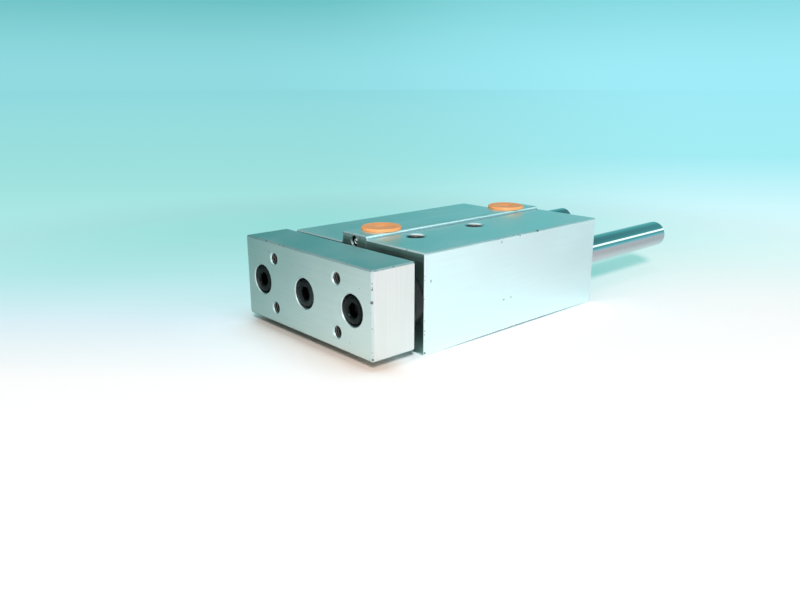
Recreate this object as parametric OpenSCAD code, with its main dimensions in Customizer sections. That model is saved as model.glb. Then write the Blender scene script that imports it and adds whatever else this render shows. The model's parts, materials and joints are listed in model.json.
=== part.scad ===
// Pneumatic slide table: a stepped aluminium housing holds a 16 mm cylinder between two guide rods.
// Piston rod and guide rods carry one tool plate at the front. Travel runs along Y, out towards -Y.
// Origin: centre of the four fixing holes, on the plane of the base. Units: mm.

/* [Housing] */
// Width of the housing
body_w = 64; // [62:0.5:72]
// Height of the right shoulder above the base
shoulder_h = 31; // [29.5:0.1:34]
// How far the left shoulder lies below the right one
left_drop = 2.4; // [1:0.1:3]
// Width of the port rail
rail_w = 11.6; // [10:0.1:12]
// How far the port rail stands above the right shoulder
rail_rise = 1; // [0.7:0.1:2]
// How far the cylinder and guide axes lie above the middle of the right shoulder's height
axis_rise = 0.7; // [0:0.1:1.3]
// Rounding along the top edges of the port rail
rail_r = 0.6; // [0.2:0.1:0.6]
// Chamfer on the outer edges of the housing
edge_c = 0.4; // [0.1:0.05:0.5]

/* [Cylinder] */
// Bore of the cylinder
bore_d = 16; // [15:0.1:17]
// Travel of the slide
stroke = 50; // [30:5:100]
// Diameter of the piston rod
rod_d = 8; // [7:0.1:8.5]
// Length of the piston
piston_l = 9; // [8.8:0.1:12]
// Radial gap between the piston and the bore
piston_clear = 0.2; // [0.1:0.05:0.3]
// Diameter of the spigot that rivets the piston to its rod
spigot_d = 5; // [4.5:0.1:5.5]
// Flare of the riveted spigot end
rivet_c = 0.8; // [0.5:0.1:1.2]

/* [Piston rings] */
// Land at each end of the piston and between its grooves
land_l = 0.7; // [0.6:0.05:0.75]
// Width of the piston seal
seal_w = 2.2; // [2:0.1:2.4]
// Width of the wear ring
wear_w = 2; // [1.6:0.1:2.2]
// Width of the magnet ring
magnet_w = 1.8; // [1.5:0.1:2]
// Depth of the seal groove
seal_depth = 2.2; // [1.8:0.1:2.4]
// Depth of the wear ring groove
wear_depth = 0.9; // [0.7:0.1:1.2]
// Depth of the magnet groove
magnet_depth = 1.6; // [1.2:0.1:2]

/* [Covers] */
// Step from the cylinder bore out to the bore that seats each cover
cover_step = 0.8; // [0.6:0.1:1]
// Length of the collar between its clip and its seat
collar_l = 6.5; // [6.2:0.1:7]
// Length of the head cover between its clip and its seat
head_l = 6; // [5:0.1:7]
// Length of the nose on the collar
collar_nose_l = 3.2; // [3:0.1:4]
// Length of the nose on the head cover
head_nose_l = 2.4; // [2.2:0.1:3]
// Gap between a cover's nose and the bore, for the air
nose_gap = 1.5; // [1.2:0.1:1.8]
// Thickness of each end damper
damper_t = 1; // [0.8:0.1:1.5]
// Wall of the rod bush
rod_bush_wall = 1; // [0.8:0.1:1.2]
// Width of the rod seal
rod_seal_w = 2.8; // [2.4:0.1:3]
// Radial section of the rod seal
rod_seal_t = 2.2; // [2:0.1:2.4]
// Lip that keeps the rod seal in the collar
collar_lip = 0.8; // [0.6:0.1:1]
// Section of the cover gaskets
gasket_d = 1.4; // [1.2:0.05:1.5]
// Depth of the pull recess in the head cover
head_recess = 2; // [1:0.1:2.5]
// Diameter of the pull recess in the head cover
head_recess_d = 8; // [6:0.1:9]

/* [Retaining clips] */
// Thickness of a retaining clip
clip_t = 1; // [0.8:0.05:1.2]
// How deep a clip sits in its groove
clip_bite = 0.7; // [0.5:0.05:0.8]
// Width of housing left in front of a clip
clip_lip = 1.1; // [0.9:0.1:1.5]
// Radial width of a clip
clip_w = 1.5; // [1.2:0.1:1.8]
// Diameter of a clip's lugs
clip_lug_d = 2.8; // [2.6:0.1:3.2]
// Diameter of the plier holes in the lugs
clip_hole_d = 1.2; // [1:0.1:1.4]

/* [Guides] */
// Diameter of the guide rods
guide_d = 10; // [9:0.1:10.5]
// Distance from each guide axis to the side of the housing
guide_inset = 9; // [8.6:0.1:9.2]
// Wall of the guide bushes
bush_wall = 2; // [1.5:0.1:2.2]
// Length of the guide bushes
bush_l = 14; // [10:0.5:18]
// How far the bushes lie below the end faces
bush_sink = 0.5; // [0.3:0.1:1]
// Radial gap round the rods between the bushes
tunnel_gap = 0.6; // [0.4:0.1:1]
// Rod left behind the rear face when the slide is out
guide_spare = 8.5; // [6:0.5:15]
// Chamfer on the rear ends of the guide rods
guide_c = 1; // [0.5:0.1:1.5]

/* [Rubber bumpers] */
// Outer diameter of the bumpers
bumper_d = 18; // [16:0.1:18.5]
// Rounding of the bumper edges
bumper_r = 0.5; // [0.2:0.1:0.8]

/* [Tool plate] */
// How far the ends of the tool plate lie inside the sides of the housing
plate_inset = 0; // [0:0.1:2]
// Height of the tool plate
plate_h = 26.4; // [25:0.1:30]
// Thickness of the tool plate
plate_t = 16; // [13:0.5:17]
// Gap between the tool plate and the front face
plate_gap = 3.6; // [3:0.1:5]
// Chamfer on the edges of the tool plate
plate_c = 0.5; // [0.2:0.05:0.8]
// Depth of the recesses that locate the rods in the plate
rod_recess = 1; // [0.5:0.1:2]
// Spacing across of the tapped tooling holes
tool_dx = 32; // [30:0.5:34]
// Spacing up of the tapped tooling holes
tool_dz = 16; // [14:0.5:17]
// Core diameter of the M4 tooling holes
tool_core_d = 3.3; // [2.5:0.1:3.4]
// Diameter of the countersink on each tooling hole
tool_csk_d = 4.2; // [3.6:0.1:4.3]

/* [Plate screws] */
// Thread diameter of the plate screws
screw_d = 5; // [4:0.1:5.5]
// Length of the plate screws under the head
screw_l = 20; // [18:1:24]
// Head diameter of the plate screws
screw_head_d = 8.5; // [8:0.1:9]
// Head height of the plate screws
screw_head_h = 5; // [4.5:0.1:5.5]
// Key size of the hexagon socket
screw_key = 4; // [3:0.5:4.5]
// Depth of the hexagon socket
screw_key_depth = 2.5; // [2:0.1:3]
// Chamfer round the top of the head
screw_head_c = 0.4; // [0.2:0.1:0.6]
// How far the heads lie below the face of the plate
head_sink = 0.3; // [0.1:0.1:0.8]
// Radial gap round the heads in their counterbores
head_clear = 0.5; // [0.3:0.1:0.8]
// Radial gap round the screw shanks in the plate
shank_clear = 0.25; // [0.1:0.05:0.4]
// Tapped depth left beyond the screw tips
tap_spare = 2; // [1:0.5:4]

/* [Fixing holes] */
// Core diameter of the M5 fixing holes
fix_core_d = 4.2; // [3.3:0.1:4.4]
// Diameter of the countersinks at the top of the fixing holes
fix_csk_d = 6.4; // [5.4:0.1:6.6]
// Diameter of the lighter countersinks in the base
base_csk_d = 5.1; // [4.5:0.1:5.2]
// Spacing across of the fixing holes
fix_dx = 24; // [23.6:0.1:24.4]
// Spacing along of the fixing holes
fix_dy = 27; // [20:0.5:30]
// First fixing holes, behind the front face
fix_y = 15; // [14.5:0.5:20]

/* [Ports] */
// Core diameter of the M5 ports
port_core_d = 4.2; // [3.6:0.1:4.4]
// Front port, behind the front face
port_front_y = 11.2; // [10.8:0.1:11.4]
// Rear port, ahead of the rear face
port_rear_y = 11.4; // [11:0.1:11.8]
// Diameter of the port plug heads
plug_d = 13; // [10:0.1:14]
// Thickness of the port plug heads
plug_t = 1; // [0.8:0.1:1.5]
// Length of the port plug stems
plug_stem_l = 5; // [4:0.5:6]
// Diameter of the finger dimple in each plug head
plug_dimple_d = 4; // [2:0.5:6]
// Depth of the finger dimple
plug_dimple = 0.3; // [0.1:0.1:0.5]
// Diameter of the air passage drilled from the front
passage_d = 3.4; // [3:0.1:3.6]
// Depth of the air passage below the top of the rail
passage_z = 2.4; // [2.2:0.1:2.8]
// How far the steel ball lies inside the passage mouth
ball_sink = 0.5; // [0.2:0.1:1]

/* [Sensor slot] */
// Diameter of the round sensor slot under the housing
slot_d = 4.2; // [3.8:0.1:4.6]
// Width of the slot's mouth
slot_mouth = 2.6; // [2.2:0.1:3]
// Thickness of the lips beside the mouth
slot_lip = 0.6; // [0.4:0.1:1]

/* [Fits] */
// Radial gap of a running fit
run_clear = 0.03; // [0.02:0.01:0.06]
// Radial gap of a piece seated in its housing
seat_clear = 0.02; // [0.01:0.01:0.04]
// Gap left where two moving faces come to rest
rest_gap = 0.3; // [0.2:0.05:0.5]

/* [Hidden] */

$fn = 64;
over = 1;                                   // how far a cut runs past the face it opens

// Heights of the stepped top
rail_top = shoulder_h + rail_rise;
left_h = shoulder_h - left_drop;

// Axes of the cylinder and of the guides
axis_z = shoulder_h / 2 + axis_rise;
guide_x = body_w / 2 - guide_inset;
plate_w = body_w - 2 * plate_inset;

// Stations along Y, counted from the front face of the housing towards the rear
clip_groove = clip_t + 2 * seat_clear;
collar_y = clip_lip + clip_groove;
collar_seat = collar_y + collar_l;
front_stop = collar_seat + collar_nose_l + damper_t;
piston_y = front_stop + rest_gap + stroke;
rear_stop = piston_y + piston_l + rest_gap;
head_seat = rear_stop + damper_t + head_nose_l;
head_y = head_seat + head_l;
body_l = head_y + clip_groove + clip_lip;
plate_back = -plate_gap;
plate_front = plate_back - plate_t;
rod_front = plate_back - rod_recess;
screw_seat = plate_front + head_sink + screw_head_h;
guide_end = body_l + stroke + guide_spare;
tap_end = screw_seat + screw_l + tap_spare;
face_y = -(fix_y + fix_dy / 2);             // front face of the housing in the part's own frame

// Diameters that follow from the fits
cover_d = bore_d + 2 * cover_step;
groove_d = cover_d + 2 * clip_bite;
nose_d = bore_d - 2 * nose_gap;
bush_d = guide_d + 2 * bush_wall;
rod_bush_d = rod_d + 2 * rod_bush_wall;
rod_seal_d = rod_d + 2 * rod_seal_t;
piston_d = bore_d - 2 * piston_clear;
tap_d = screw_d + 2 * seat_clear;
gasket_w = gasket_d * 1.2;                  // groove width for a squeezed ring
gasket_squeeze = gasket_d * 0.9;            // height left for the ring in its groove

// Puts a turned shape, drawn along its own Z, on an axis along Y
module on_axis(x, y) {
    translate([x, face_y + y, axis_z]) rotate([-90, 0, 0]) children();
}

// A cylinder from y0 to y1 along Y at x
module bar(d, y0, y1, x = 0) {
    on_axis(x, y0) cylinder(d = d, h = y1 - y0);
}

// A tube from y0 to y1 along Y at x
module sleeve(od, id, y0, y1, x = 0) {
    difference() {
        bar(od, y0, y1, x);
        bar(id, y0 - over, y1 + over, x);
    }
}

// A cone from diameter d1 at y0 to d2 at y1
module taper(d1, d2, y0, y1, x = 0) {
    on_axis(x, y0) cylinder(d1 = d1, d2 = d2, h = y1 - y0);
}

// A section in the XZ plane, run along Y from y0 to y1
module run_y(y0, y1) {
    translate([0, face_y + y1, 0]) rotate([90, 0, 0]) linear_extrude(y1 - y0) children();
}

// A hole drilled right through from the base to z1, countersunk at both ends
module drill(d, z1) {
    top = (fix_csk_d - d) / 2;
    low = (base_csk_d - d) / 2;
    translate([0, 0, -over]) cylinder(d = d, h = z1 + 2 * over);
    translate([0, 0, z1 - top]) cylinder(d1 = d, d2 = fix_csk_d, h = top);
    translate([0, 0, z1]) cylinder(d = fix_csk_d, h = over);
    cylinder(d1 = base_csk_d, d2 = d, h = low);
    translate([0, 0, -over]) cylinder(d = base_csk_d, h = over);
}

// A square bar along the X axis that cuts a 45 degree chamfer of leg c
module chamfer_x(x0, x1, c) {
    translate([(x0 + x1) / 2, 0, 0]) rotate([45, 0, 0])
        cube([x1 - x0 + 2 * c, c * sqrt(2), c * sqrt(2)], center = true);
}

// The same along the Z axis
module chamfer_z(h, c) {
    rotate([0, 0, 45]) cube([c * sqrt(2), c * sqrt(2), 2 * h], center = true);
}

// Points along a round edge of radius r about [x, z], from angle a0 to a1
function round_edge(x, z, r, a0, a1, steps = 8) =
    [for (i = [0:steps]) let (a = a0 + (a1 - a0) * i / steps) [x + r * cos(a), z + r * sin(a)]];

// Section of the housing: two shoulders of unequal height with the port rail between them
module body_section() {
    half = body_w / 2;
    rail = rail_w / 2;
    polygon(concat(
        [[edge_c - half, 0], [half - edge_c, 0], [half, edge_c]],
        [[half, shoulder_h - edge_c], [half - edge_c, shoulder_h], [rail, shoulder_h]],
        round_edge(rail - rail_r, rail_top - rail_r, rail_r, 0, 90),
        round_edge(rail_r - rail, rail_top - rail_r, rail_r, 90, 180),
        [[-rail, left_h], [edge_c - half, left_h], [-half, left_h - edge_c], [-half, edge_c]]
    ));
}

// Round sensor slot that opens downwards
module slot_section() {
    translate([0, slot_lip + slot_d / 2]) circle(d = slot_d);
    translate([-slot_mouth / 2, -over]) square([slot_mouth, over + slot_lip + slot_d / 2]);
}

// Chamfers round the front and rear faces; those of the shoulders stop just short of the rail
module end_chamfers() {
    half = body_w / 2;
    foot = rail_w / 2 + 2 * edge_c;
    edges = [[foot, half, shoulder_h], [-half, -foot, left_h], [-rail_w / 2, rail_w / 2, rail_top], [-half, half, 0]];
    for (y = [0, body_l]) translate([0, face_y + y, 0]) {
        for (e = edges) translate([0, 0, e[2]]) chamfer_x(e[0], e[1], edge_c);
        for (side = [-1, 1]) translate([side * half, 0, 0]) chamfer_z(rail_top, edge_c);
    }
}

// Cylinder bore, cover seats and clip grooves
module cylinder_bores() {
    bar(bore_d, collar_y, head_y);
    bar(cover_d, -over, collar_seat);
    bar(cover_d, head_seat, body_l + over);
    bar(groove_d, collar_y - clip_groove, collar_y);
    bar(groove_d, head_y, head_y + clip_groove);
}

// Bush seats and the tunnel between them, for one guide rod
module guide_bores(x) {
    bar(bush_d, -over, bush_sink + bush_l, x);
    bar(bush_d, body_l - bush_sink - bush_l, body_l + over, x);
    bar(guide_d + 2 * tunnel_gap, 0, body_l, x);
}

// Fixing holes right through the housing
module fixing_holes() {
    for (row = [-1, 1]) {
        translate([fix_dx / 2, row * fix_dy / 2, 0]) drill(fix_core_d, shoulder_h);
        translate([-fix_dx / 2, row * fix_dy / 2, 0]) drill(fix_core_d, left_h);
    }
}

// Ports down into the cylinder, and the air passage to the front port
module air_ways() {
    for (y = [port_front_y, body_l - port_rear_y])
        translate([0, face_y + y, axis_z]) cylinder(d = port_core_d, h = rail_top - axis_z + over);
    translate([0, 0, rail_top - passage_z - axis_z]) bar(passage_d, -over, port_front_y);
}

module body() {
    color("lightsteelblue") difference() {
        run_y(0, body_l) body_section();
        end_chamfers();
        cylinder_bores();
        for (side = [-1, 1]) guide_bores(side * guide_x);
        fixing_holes();
        air_ways();
        run_y(-over, body_l + over) slot_section();
    }
}

// Ring groove cut into the outside of a cover
module gasket_groove(y) {
    sleeve(cover_d + over, cover_d - 2 * gasket_squeeze, y, y + gasket_w);
}

// Gasket squeezed flat inside and out by its groove and the cover bore
module gasket(y) {
    room = gasket_squeeze - 2 * seat_clear;
    on_axis(0, y + gasket_w / 2) rotate_extrude()
        translate([cover_d / 2 - seat_clear - room / 2, 0]) intersection() {
            circle(d = gasket_d, $fn = 32);
            square([room, gasket_d], center = true);
        }
}

collar_groove_y = collar_seat - gasket_w - 1.2;
head_groove_y = head_seat + 1.2;
rod_seal_y = collar_y + collar_lip;
rod_bush_y = rod_seal_y + rod_seal_w + 2 * seat_clear + 0.6;

// Collar that closes the front of the cylinder and carries the rod bush and the rod seal
module rod_collar() {
    nose_end = collar_seat + collar_nose_l;
    color("silver") difference() {
        union() {
            bar(cover_d - 2 * seat_clear, collar_y, collar_seat);
            bar(nose_d, collar_seat - over, nose_end);
        }
        bar(rod_d + 4 * run_clear + 0.4, collar_y - over, nose_end);
        bar(rod_seal_d, rod_seal_y, rod_seal_y + rod_seal_w + 2 * seat_clear);
        bar(rod_bush_d, rod_bush_y, nose_end + over);
        gasket_groove(collar_groove_y);
    }
}

module rod_bush() {
    color("goldenrod")
        sleeve(rod_bush_d - 2 * seat_clear, rod_d + 2 * run_clear, rod_bush_y, collar_seat + collar_nose_l);
}

// Lip seal: two lips open towards the pressure, behind a square heel
module rod_seal() {
    r0 = rod_d / 2 + run_clear;
    r1 = rod_seal_d / 2 - seat_clear;
    mid = (r0 + r1) / 2;
    lip = (r1 - r0) / 4;
    color("dimgray") on_axis(0, rod_seal_y + seat_clear) rotate_extrude() polygon([
        [r0 + lip / 2, 0], [r1 - lip / 2, 0], [r1 - lip / 2, rod_seal_w * 0.4], [r1, rod_seal_w * 0.85],
        [r1 - lip, rod_seal_w], [mid, rod_seal_w * 0.5], [r0 + lip, rod_seal_w],
        [r0, rod_seal_w * 0.85], [r0 + lip / 2, rod_seal_w * 0.4]
    ]);
}

module collar_gasket() {
    color("dimgray") gasket(collar_groove_y);
}

// Internal retaining clip: an open ring, broad opposite its mouth, with two drilled lugs
module clip(y) {
    r = groove_d / 2 - seat_clear;
    lug_r = cover_d / 2 - clip_lug_d / 2 - seat_clear;
    lug_angle = 17;
    on_axis(0, y + seat_clear) linear_extrude(clip_t) difference() {
        union() {
            difference() {
                circle(r = r);
                translate([0, clip_w / 4]) circle(r = r - clip_w);
                polygon([[0, 0], r * 2 * [-sin(lug_angle), cos(lug_angle)], r * 2 * [sin(lug_angle), cos(lug_angle)]]);
            }
            for (side = [-1, 1]) rotate(side * (lug_angle + 3)) translate([0, lug_r]) circle(d = clip_lug_d);
        }
        for (side = [-1, 1]) rotate(side * (lug_angle + 3)) translate([0, lug_r]) circle(d = clip_hole_d);
    }
}

module collar_clip() {
    color("darkslategray") clip(collar_y - clip_groove);
}

module front_damper() {
    y = collar_seat + collar_nose_l;
    color("saddlebrown") sleeve(nose_d, rod_d + 0.6, y, y + damper_t);
}

// Plain cover that closes the rear of the cylinder
module head_cover() {
    color("silver") difference() {
        union() {
            bar(cover_d - 2 * seat_clear, head_seat, head_y);
            bar(nose_d, head_seat - head_nose_l, head_seat + over);
        }
        bar(head_recess_d, head_y - head_recess, head_y + over);
        gasket_groove(head_groove_y);
    }
}

module head_gasket() {
    color("dimgray") gasket(head_groove_y);
}

module head_clip() {
    color("darkslategray") clip(head_y);
}

module rear_damper() {
    y = head_seat - head_nose_l;
    color("saddlebrown") sleeve(nose_d, spigot_d + 2 * rivet_c, y - damper_t, y);
}

// Plain bush pressed in at an end of a guide bore
module guide_bush(x, y) {
    color("goldenrod") difference() {
        bar(bush_d - 2 * seat_clear, y, y + bush_l, x);
        bar(guide_d + 2 * run_clear, y - over, y + bush_l + over, x);
    }
}

module guide_bush_front_left() {
    guide_bush(-guide_x, bush_sink);
}

module guide_bush_front_right() {
    guide_bush(guide_x, bush_sink);
}

module guide_bush_rear_left() {
    guide_bush(-guide_x, body_l - bush_sink - bush_l);
}

module guide_bush_rear_right() {
    guide_bush(guide_x, body_l - bush_sink - bush_l);
}

// Steel ball that closes the mouth of the air passage
module passage_ball() {
    r = passage_d / 2 - seat_clear;
    color("white") translate([0, face_y + ball_sink + r, rail_top - passage_z]) sphere(r = r);
}

// Push-in plug with a flat head and a barbed stem
module port_plug(y) {
    r = port_core_d / 2 - seat_clear;
    core = r - 0.4;
    rise = plug_stem_l / 4;
    color("darkorange") translate([0, face_y + y, rail_top]) difference() {
        rotate_extrude() polygon([
            [0, -plug_stem_l], [core, -plug_stem_l], [r, rise - plug_stem_l], [core, rise - plug_stem_l],
            [r, 2 * rise - plug_stem_l], [core, 2 * rise - plug_stem_l], [r, 3 * rise - plug_stem_l], [r, 0],
            [plug_d / 2, 0], [plug_d / 2, plug_t * 0.7], [plug_d / 2 - plug_t * 0.3, plug_t], [0, plug_t]
        ]);
        translate([0, 0, plug_t - plug_dimple]) cylinder(d = plug_dimple_d, h = over);
    }
}

module port_plug_front() {
    port_plug(port_front_y);
}

module port_plug_rear() {
    port_plug(body_l - port_rear_y);
}

// Outline of the tool plate with all twelve edges chamfered
module plate_block() {
    half = plate_w / 2;
    z0 = axis_z - plate_h / 2;
    difference() {
        translate([-half, face_y + plate_front, z0]) cube([plate_w, plate_t, plate_h]);
        for (y = [plate_front, plate_back]) translate([0, face_y + y, 0]) {
            for (z = [z0, z0 + plate_h]) translate([0, 0, z]) chamfer_x(-half, half, plate_c);
            for (side = [-1, 1]) translate([side * half, 0, axis_z]) chamfer_z(plate_h, plate_c);
        }
        for (z = [z0, z0 + plate_h], side = [-1, 1])
            translate([side * half, face_y + (plate_front + plate_back) / 2, z]) rotate([0, 45, 0])
                cube([plate_c * sqrt(2), 2 * plate_t, plate_c * sqrt(2)], center = true);
    }
}

// Tool plate: three counterbored screw holes, rod recesses behind them, four tapped holes
module tool_plate() {
    csk = (tool_csk_d - tool_core_d) / 2;
    color("gainsboro") difference() {
        plate_block();
        for (x = [-guide_x, 0, guide_x]) {
            bar(screw_head_d + 2 * head_clear, plate_front - over, screw_seat, x);
            bar(screw_d + 2 * shank_clear, plate_front, plate_back, x);
            bar((x == 0 ? rod_d : guide_d) + 2 * seat_clear, rod_front, plate_back + over, x);
        }
        for (x = [-tool_dx / 2, tool_dx / 2], z = [-tool_dz / 2, tool_dz / 2]) translate([0, 0, z]) {
            bar(tool_core_d, plate_front - over, plate_back + over, x);
            taper(tool_csk_d, tool_core_d, plate_front, plate_front + csk, x);
            taper(tool_core_d, tool_csk_d, plate_back - csk, plate_back, x);
        }
    }
}

// Socket head cap screw, head towards the front
module plate_screw(x) {
    top = screw_seat - screw_head_h;
    difference() {
        union() {
            taper(screw_head_d - 2 * screw_head_c, screw_head_d, top, top + screw_head_c, x);
            bar(screw_head_d, top + screw_head_c, screw_seat, x);
            bar(screw_d, screw_seat - over, screw_seat + screw_l - screw_head_c, x);
            taper(screw_d, screw_d - 2 * screw_head_c, screw_seat + screw_l - screw_head_c, screw_seat + screw_l, x);
        }
        on_axis(x, top - over) cylinder(d = screw_key / cos(30), h = over + screw_key_depth, $fn = 6);
    }
}

module plate_screws() {
    color("dimgray") for (x = [-guide_x, 0, guide_x]) plate_screw(x);
}

// Piston rod, tapped at the front for its screw, with a riveted spigot at the rear
module piston_rod() {
    tail = piston_y + piston_l;
    color("lightgray") difference() {
        union() {
            bar(rod_d, rod_front, piston_y);
            bar(spigot_d, piston_y - over, tail);
            taper(spigot_d, spigot_d + 2 * rivet_c, tail - rivet_c, tail);
        }
        bar(tap_d, rod_front - over, tap_end);
    }
}

seal_y = piston_y + land_l;
wear_y = seal_y + seal_w + 2 * seat_clear + land_l;
magnet_y = wear_y + wear_w + 2 * seat_clear + land_l;

// One ring groove round the piston
module piston_groove(y, w, depth) {
    sleeve(piston_d + over, piston_d - 2 * depth, y, y + w + 2 * seat_clear);
}

// Piston with grooves for its seal, wear ring and magnet
module piston() {
    tail = piston_y + piston_l;
    hole_d = spigot_d + 2 * seat_clear;
    color("khaki") difference() {
        bar(piston_d, piston_y, tail);
        bar(hole_d, piston_y - over, tail + over);
        taper(hole_d, hole_d + 2 * rivet_c, tail - rivet_c, tail);
        piston_groove(seal_y, seal_w, seal_depth);
        piston_groove(wear_y, wear_w, wear_depth);
        piston_groove(magnet_y, magnet_w, magnet_depth);
    }
}

// Two-lipped ring that seals both ways against the bore
module piston_seal() {
    r0 = piston_d / 2 - seal_depth + seat_clear;
    r1 = bore_d / 2 - run_clear;
    mid = r1 - (r1 - r0) * 0.35;
    color("dimgray") on_axis(0, seal_y + seat_clear) rotate_extrude() polygon([
        [r0, 0], [mid, 0], [r1, seal_w * 0.1], [r1, seal_w * 0.25], [mid, seal_w * 0.5],
        [r1, seal_w * 0.75], [r1, seal_w * 0.9], [mid, seal_w], [r0, seal_w]
    ]);
}

module piston_wear_ring() {
    y = wear_y + seat_clear;
    color("ivory") sleeve(bore_d - 2 * run_clear, piston_d - 2 * (wear_depth - seat_clear), y, y + wear_w);
}

module piston_magnet() {
    y = magnet_y + seat_clear;
    color("darkslategray") sleeve(piston_d, piston_d - 2 * (magnet_depth - seat_clear), y, y + magnet_w);
}

// Guide rod, tapped at the front for its screw and chamfered at the rear
module guide_rod(x) {
    color("gainsboro") difference() {
        union() {
            bar(guide_d, rod_front, guide_end - guide_c, x);
            taper(guide_d, guide_d - 2 * guide_c, guide_end - guide_c, guide_end, x);
        }
        bar(tap_d, rod_front - over, tap_end, x);
    }
}

module guide_rod_left() {
    guide_rod(-guide_x);
}

module guide_rod_right() {
    guide_rod(guide_x);
}

// Rubber ring behind the plate that meets the front face when the slide comes in
module bumper(x) {
    r0 = guide_d / 2 + seat_clear;
    r1 = bumper_d / 2;
    t = plate_gap - rest_gap;
    color("darkslategray") on_axis(x, plate_back) rotate_extrude() {
        translate([r0, 0]) square([r1 - bumper_r - r0, t]);
        translate([r0, bumper_r]) square([r1 - r0, t - 2 * bumper_r]);
        for (y = [bumper_r, t - bumper_r]) translate([r1 - bumper_r, y]) circle(r = bumper_r, $fn = 24);
    }
}

module bumper_left() {
    bumper(-guide_x);
}

module bumper_right() {
    bumper(guide_x);
}

body();
rod_collar();
rod_bush();
rod_seal();
collar_gasket();
collar_clip();
front_damper();
head_cover();
head_gasket();
head_clip();
rear_damper();
guide_bush_front_left();
guide_bush_front_right();
guide_bush_rear_left();
guide_bush_rear_right();
passage_ball();
port_plug_front();
port_plug_rear();
tool_plate();
plate_screws();
piston_rod();
piston();
piston_seal();
piston_wear_ring();
piston_magnet();
guide_rod_left();
guide_rod_right();
bumper_left();
bumper_right();
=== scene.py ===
# %% [markdown]
# # Pneumatic slide table
# A slide table is a small linear actuator: a block of aluminium holds an air cylinder between two
# guide rods, and all three rods carry one tool plate at the front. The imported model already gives
# every piece its true size and place, so this script adds what a camera sees: the finish of each
# metal, the cut threads, the knurled screws and the moulded port plugs. Everything is in metres.

# %% Load the frame
import json
import math

import bmesh
import bpy
from mathutils import Matrix, Vector


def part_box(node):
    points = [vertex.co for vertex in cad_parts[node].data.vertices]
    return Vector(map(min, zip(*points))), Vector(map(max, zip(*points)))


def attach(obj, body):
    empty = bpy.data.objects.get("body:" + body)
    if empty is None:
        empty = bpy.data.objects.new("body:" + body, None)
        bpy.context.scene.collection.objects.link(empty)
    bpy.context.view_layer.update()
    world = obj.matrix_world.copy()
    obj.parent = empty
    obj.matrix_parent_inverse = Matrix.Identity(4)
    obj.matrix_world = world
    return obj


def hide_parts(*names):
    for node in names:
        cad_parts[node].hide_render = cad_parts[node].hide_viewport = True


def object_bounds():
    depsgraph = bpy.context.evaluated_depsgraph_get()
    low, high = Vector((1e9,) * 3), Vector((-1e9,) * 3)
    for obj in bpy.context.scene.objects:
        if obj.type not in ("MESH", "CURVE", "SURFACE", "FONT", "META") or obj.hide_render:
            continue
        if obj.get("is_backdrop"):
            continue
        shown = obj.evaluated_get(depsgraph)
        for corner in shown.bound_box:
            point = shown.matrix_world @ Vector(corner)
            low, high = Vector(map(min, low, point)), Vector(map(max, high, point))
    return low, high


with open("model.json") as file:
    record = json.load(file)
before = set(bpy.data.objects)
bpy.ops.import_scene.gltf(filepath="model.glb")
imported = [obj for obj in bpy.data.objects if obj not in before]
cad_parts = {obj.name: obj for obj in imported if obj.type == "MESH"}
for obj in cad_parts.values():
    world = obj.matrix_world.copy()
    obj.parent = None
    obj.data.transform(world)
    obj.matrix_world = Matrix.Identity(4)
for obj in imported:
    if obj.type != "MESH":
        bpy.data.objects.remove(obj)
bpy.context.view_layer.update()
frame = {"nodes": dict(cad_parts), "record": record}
nodes = frame["nodes"]

# %% [markdown]
# ## Measures that later cells share
# The main measures come from the boxes of the imported pieces. Reading them once, into plain
# names, keeps the later cells short.

# %% Take the main measures from the frame
MM = 0.001
body_low, body_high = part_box("body")
plate_low, plate_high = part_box("tool_plate")
guide_low, guide_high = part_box("guide_rod_right")
axis_z = (guide_low.z + guide_high.z) / 2
guide_x = (guide_low.x + guide_high.x) / 2
print("housing", [round(v / MM, 2) for v in body_high - body_low], "axis height", round(axis_z / MM, 2))


def display(red, green, blue):
    """A colour given as it shows on a screen, 0 to 255, turned into the linear values of a shader."""
    def linear(value):
        share = value / 255
        return share / 12.92 if share <= 0.04045 else ((share + 0.055) / 1.055) ** 2.4
    return (linear(red), linear(green), linear(blue), 1.0)


# %% [markdown]
# ## Camera
# A lens of 33 mm on a 36 mm sensor, close to the part and 16.6 degrees above it, looks past the
# front right edge of the tool plate. It is set by its aim, its azimuth and its elevation, which
# say more about a view than three bare angles do.

# %% Make the camera
CAMERA_AIM = Vector((0.0001, -0.0093, 0.0065))
CAMERA_DISTANCE = 0.25
CAMERA_AZIMUTH = math.radians(47.96)
CAMERA_ELEVATION = math.radians(16.62)

camera_data = bpy.data.cameras.new("camera")
camera_data.lens = 33.23
camera_data.sensor_width = 36.0
camera_data.clip_start = 0.01
camera_data.clip_end = 20.0
camera = bpy.data.objects.new("camera", camera_data)
bpy.context.scene.collection.objects.link(camera)
camera_back = Vector((
    math.sin(CAMERA_AZIMUTH) * math.cos(CAMERA_ELEVATION),
    -math.cos(CAMERA_AZIMUTH) * math.cos(CAMERA_ELEVATION),
    math.sin(CAMERA_ELEVATION)))
camera.location = CAMERA_AIM + camera_back * CAMERA_DISTANCE
camera.rotation_euler = (math.pi / 2 - CAMERA_ELEVATION, 0, CAMERA_AZIMUTH)
bpy.context.scene.camera = camera
bpy.context.scene.view_settings.view_transform = "Standard"
print("camera at", [round(v, 4) for v in camera.location])

# %% [markdown]
# ## Helpers for node trees
# A material is a small graph. Making a node, setting its plain values and wiring its inputs takes
# three lines each time, so one helper does all three. A value that is a socket gets wired, and
# any other value is set.


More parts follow.
